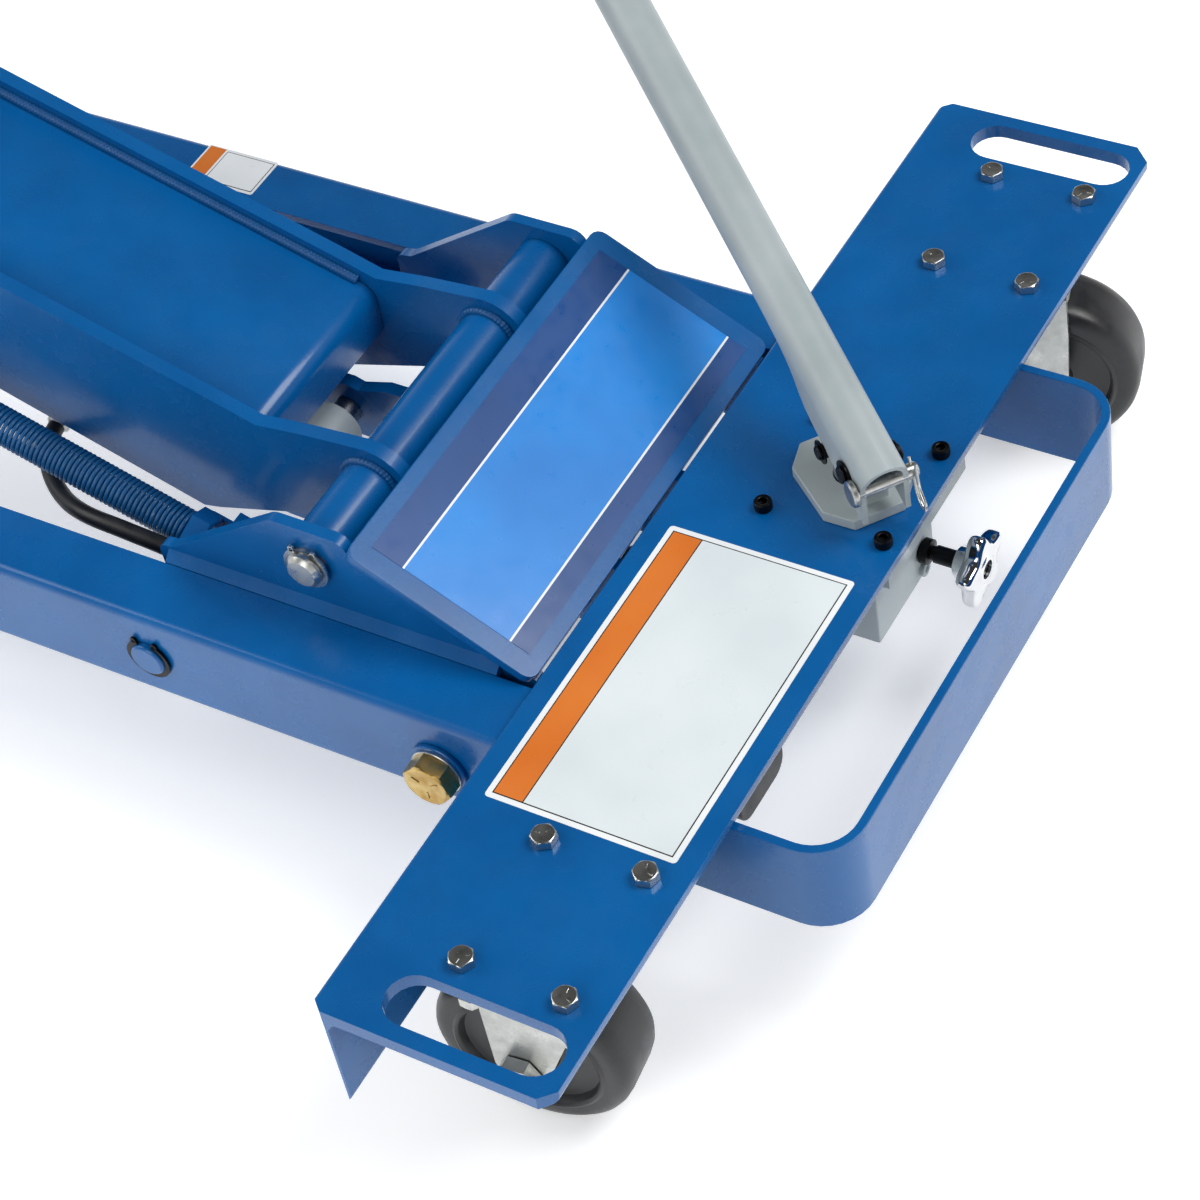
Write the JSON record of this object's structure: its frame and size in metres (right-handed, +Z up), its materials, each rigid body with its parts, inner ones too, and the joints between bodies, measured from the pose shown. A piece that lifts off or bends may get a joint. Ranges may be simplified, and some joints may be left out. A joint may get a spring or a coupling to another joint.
{
  "type": "hydraulic lift jack",
  "caption": "Low hydraulic jack on casters with a parallel-lift arm, a tilting saddle, a lever-worked pump and a guard loop.",
  "frame": {"origin": "on the floor, under the middle of the jack's outline", "axes": "+Y from the front wheels to the pump end, +X towards the operator's left hand when facing the front, +Z up"},
  "size_m": [1.0048, 1.1822, 0.5435],
  "materials": {
    "black_oxide": "blackened steel",
    "black_plastic": "moulded",
    "black_rubber": "moulded",
    "blue_enamel": "glossy stoved enamel",
    "chrome": "bright chrome plate",
    "grey_paint": "satin paint with worn edges",
    "ground_steel": "ground and turned steel",
    "yellow_zinc": "yellow passivated zinc plate",
    "zinc_plate": "bright zinc plate"
  },
  "bodies": {
    "chassis": {"rear_cross_member": "blue_enamel", "side_rail_left": "blue_enamel", "side_rail_right": "blue_enamel", "rear_guard_loop": "blue_enamel", "gusset_left": "blue_enamel", "gusset_right": "blue_enamel", "cover_plate": "blue_enamel", "ram_cradle_left": "blue_enamel", "ram_cradle_right": "blue_enamel", "ram_base_pin": "ground_steel", "rail_pin_left": "blue_enamel", "rail_pin_right": "blue_enamel", "cross_tube": "blue_enamel", "cross_bolt_left": "yellow_zinc", "cross_bolt_right": "yellow_zinc", "front_cross_bar": "blue_enamel", "front_bracket_left": "blue_enamel", "front_bracket_right": "blue_enamel", "front_axle": "zinc_plate", "pivot_pin": "zinc_plate", "pump_body": "grey_paint", "oil_reservoir": "black_plastic", "spring_bracket": "blue_enamel", "hydraulic_hose": "black_rubber", "caster_plate_left": "zinc_plate", "caster_plate_right": "zinc_plate"},
    "lift_arm": {"arm_plate_left": "blue_enamel", "arm_plate_right": "blue_enamel", "arm_top_plate": "blue_enamel", "pivot_tube": "blue_enamel", "head_pin": "zinc_plate"},
    "head": {"head_bracket": "blue_enamel", "saddle_pin": "zinc_plate", "level_link_pin": "zinc_plate"},
    "level_link": {"level_link": "blue_enamel"},
    "saddle": {"saddle": "blue_enamel"},
    "ram_cylinder": {"ram_cylinder": "grey_paint"},
    "ram_rod": {"ram_rod": "chrome", "ram_rod_pin": "ground_steel"},
    "spring_rear": {"spring_plug_rear": "blue_enamel", "return_spring": "ground_steel"},
    "spring_front": {"spring_plug_front": "blue_enamel"},
    "handle_socket": {"socket_flange": "grey_paint", "fulcrum_pin": "black_oxide"},
    "pump_handle": {"pump_handle": "grey_paint", "handle_grip": "black_rubber", "plunger_pin": "black_oxide", "clevis_pin": "zinc_plate"},
    "pump_plunger": {"pump_plunger": "chrome"},
    "release_valve": {"release_rod": "black_oxide", "star_knob": "chrome"},
    "caster_fork_left": {"caster_fork_left": "zinc_plate", "caster_axle_left": "zinc_plate"},
    "caster_fork_right": {"caster_fork_right": "zinc_plate", "caster_axle_right": "zinc_plate"},
    "caster_wheel_left": {"caster_wheel_left": "black_rubber"},
    "caster_wheel_right": {"caster_wheel_right": "black_rubber"},
    "front_wheel_left": {"front_wheel_left": "black_rubber"},
    "front_wheel_right": {"front_wheel_right": "black_rubber"}
  },
  "joints": [
    {"name": "lift", "type": "hinge", "parent": "chassis", "child": "lift_arm", "pos_m": [0.09012, 0.2067, 0.20452], "axis": [-1, 0, 0], "range_deg": [-16, 46]},
    {"name": "head_level", "type": "hinge", "parent": "lift_arm", "child": "head", "pos_m": [0.09012, -0.3753, 0.32482], "axis": [-1, 0, 0], "range_deg": [-46.5, 16.5]},
    {"name": "level_link_swing", "type": "hinge", "parent": "chassis", "child": "level_link", "pos_m": [-0.01988, 0.1007, 0.12782], "axis": [-1, 0, 0], "range_deg": [-16.5, 46.5]},
    {"name": "saddle_tilt", "type": "hinge", "parent": "head", "child": "saddle", "pos_m": [0.09012, -0.3753, 0.40882], "axis": [1, 0, 0], "range_deg": [-12, 12]},
    {"name": "ram_swing", "type": "hinge", "parent": "chassis", "child": "ram_cylinder", "pos_m": [0.09012, 0.1007, 0.12782], "axis": [-1, 0, 0], "range_deg": [-25, 52], "deforming": ["hydraulic_hose"]},
    {"name": "ram_extend", "type": "slide", "parent": "ram_cylinder", "child": "ram_rod", "axis": [0, -0.9303, 0.3668], "range_m": [-0.036, 0.102]},
    {"name": "spring_swing", "type": "hinge", "parent": "chassis", "child": "spring_rear", "pos_m": [0.20012, 0.0797, 0.13882], "axis": [-1, 0, 0], "range_deg": [-20, 54]},
    {"name": "spring_stretch", "type": "slide", "parent": "spring_rear", "child": "spring_front", "axis": [0, -0.9521, 0.3057], "range_m": [-0.034, 0.096], "deforming": ["return_spring"]},
    {"name": "handle_swivel", "type": "hinge", "parent": "chassis", "child": "handle_socket", "pos_m": [0.02962, 0.4697, 0.18482], "axis": [0, 0, -1], "range_deg": [-8, 110]},
    {"name": "handle_pump", "type": "hinge", "parent": "handle_socket", "child": "pump_handle", "pos_m": [0.04871, 0.49413, 0.21782], "axis": [-0.788, 0.6157, 0], "range_deg": [-8, 45]},
    {"name": "plunger_stroke", "type": "slide", "parent": "handle_socket", "child": "pump_plunger", "axis": [0, 0, 1], "range_m": [-0.005, 0.028]},
    {"name": "release_turn", "type": "hinge", "parent": "chassis", "child": "release_valve", "pos_m": [0.00692, 0.5007, 0.10262], "axis": [0, 1, 0], "range_deg": [0, 180]},
    {"name": "caster_swivel_left", "type": "hinge", "parent": "chassis", "child": "caster_fork_left", "pos_m": [0.39572, 0.4648, 0.15482], "axis": [0, 0, 1], "continuous": true},
    {"name": "caster_roll_left", "type": "hinge", "parent": "caster_fork_left", "child": "caster_wheel_left", "pos_m": [0.39823, 0.44093, 0.06322], "axis": [-0.9945, -0.1045, 0], "continuous": true},
    {"name": "caster_swivel_right", "type": "hinge", "parent": "chassis", "child": "caster_fork_right", "pos_m": [-0.21548, 0.4648, 0.15482], "axis": [0, 0, 1], "continuous": true},
    {"name": "caster_roll_right", "type": "hinge", "parent": "caster_fork_right", "child": "caster_wheel_right", "pos_m": [-0.22209, 0.48787, 0.06322], "axis": [0.9613, 0.2756, 0], "continuous": true},
    {"name": "front_roll_left", "type": "hinge", "parent": "chassis", "child": "front_wheel_left", "pos_m": [0.32812, -0.5403, 0.05052], "axis": [1, 0, 0], "continuous": true},
    {"name": "front_roll_right", "type": "hinge", "parent": "chassis", "child": "front_wheel_right", "pos_m": [-0.14788, -0.5403, 0.05052], "axis": [1, 0, 0], "continuous": true}
  ],
  "couplings": [
    {"joint": "head_level", "follows": "lift", "ratio": -1},
    {"joint": "level_link_swing", "follows": "lift", "ratio": 1},
    {"joint": "ram_swing", "follows": "lift", "ratio": 1.1},
    {"joint": "ram_extend", "follows": "lift", "m_per_rad": 0.12},
    {"joint": "spring_swing", "follows": "lift", "ratio": 1.15},
    {"joint": "spring_stretch", "follows": "lift", "m_per_rad": 0.115},
    {"joint": "plunger_stroke", "follows": "handle_pump", "m_per_rad": 0.035}
  ]
}
